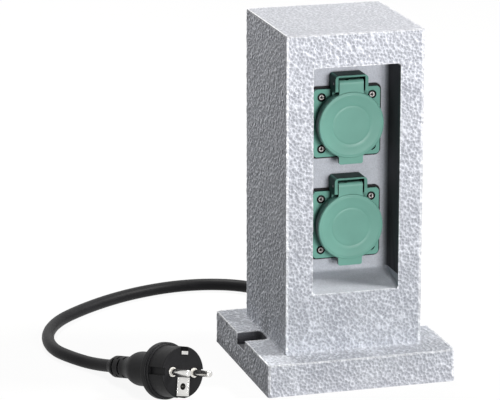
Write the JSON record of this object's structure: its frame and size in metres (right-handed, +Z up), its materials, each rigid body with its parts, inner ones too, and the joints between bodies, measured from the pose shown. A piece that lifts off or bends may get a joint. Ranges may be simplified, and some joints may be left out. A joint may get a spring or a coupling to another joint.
{
  "type": "garden socket",
  "caption": "Square stone-look garden column on a foot plate, with hinged-lid earthed sockets in a niche and a supply cord with a moulded plug.",
  "frame": {"origin": "middle of the foot plate's underside", "axes": "+Z up, +X to the right of the niche, -Y towards the viewer of the niche"},
  "size_m": [0.2714, 0.2936, 0.258],
  "materials": {
    "cast_stone": "cast stone look, mottled pale grey with small dimples, matt",
    "green_plastic": "moulded sea green plastic, satin",
    "black_rubber": "black rubber, matt",
    "black_plastic": "black moulded plastic",
    "brass": "bare brass",
    "nickel_plate": "nickel plate, bright",
    "steel": "zinc plated steel",
    "pale_plastic": "pale grey insert plastic",
    "brown_insulation": "brown lead insulation",
    "blue_insulation": "blue lead insulation",
    "earth_insulation": "green and yellow lead insulation"
  },
  "bodies": {
    "root": {"bottom_cover": "black_plastic", "bottom_cover_screws": "steel", "bottom_seal": "black_rubber", "cable_clamp": "black_plastic", "cable_clamp_screws": "steel", "cord": "black_rubber", "cord_tail": "black_rubber", "earth_core": "earth_insulation", "line_core": "brown_insulation", "lower_centre_screw": "steel", "lower_earth_clip": "nickel_plate", "lower_earth_lead": "earth_insulation", "lower_flange_gasket": "black_rubber", "lower_hinge_pin": "steel", "lower_lid_spring": "steel", "lower_line_contact": "brass", "lower_line_lead": "brown_insulation", "lower_mounting_screws": "steel", "lower_neutral_contact": "brass", "lower_neutral_lead": "blue_insulation", "lower_rear_base": "black_plastic", "lower_socket_body": "green_plastic", "lower_terminal_screws": "steel", "neutral_core": "blue_insulation", "plug_body": "black_rubber", "plug_bridge": "pale_plastic", "plug_earth_contact": "nickel_plate", "plug_pins": "nickel_plate", "stone_housing": "cast_stone", "strain_relief": "black_rubber", "terminal_block": "black_plastic", "terminal_block_screws": "steel", "upper_centre_screw": "steel", "upper_earth_clip": "nickel_plate", "upper_earth_lead": "earth_insulation", "upper_flange_gasket": "black_rubber", "upper_hinge_pin": "steel", "upper_lid_spring": "steel", "upper_line_contact": "brass", "upper_line_lead": "brown_insulation", "upper_mounting_screws": "steel", "upper_neutral_contact": "brass", "upper_neutral_lead": "blue_insulation", "upper_rear_base": "black_plastic", "upper_socket_body": "green_plastic", "upper_terminal_screws": "steel"},
    "upper_lid": {"upper_lid": "green_plastic", "upper_lid_seal": "black_rubber"},
    "lower_lid": {"lower_lid": "green_plastic", "lower_lid_seal": "black_rubber"}
  },
  "joints": [
    {"name": "upper_lid_hinge", "type": "hinge", "parent": "root", "child": "upper_lid", "pos_m": [0.0013, -0.03155, 0.2178], "axis": [-1, 0, 0], "range_deg": [0, 110], "stiffness_Nm_per_rad": 0.01, "springref_deg": -114.59},
    {"name": "lower_lid_hinge", "type": "hinge", "parent": "root", "child": "lower_lid", "pos_m": [0.0013, -0.03155, 0.1424], "axis": [-1, 0, 0], "range_deg": [0, 110], "stiffness_Nm_per_rad": 0.01, "springref_deg": -114.59}
  ]
}
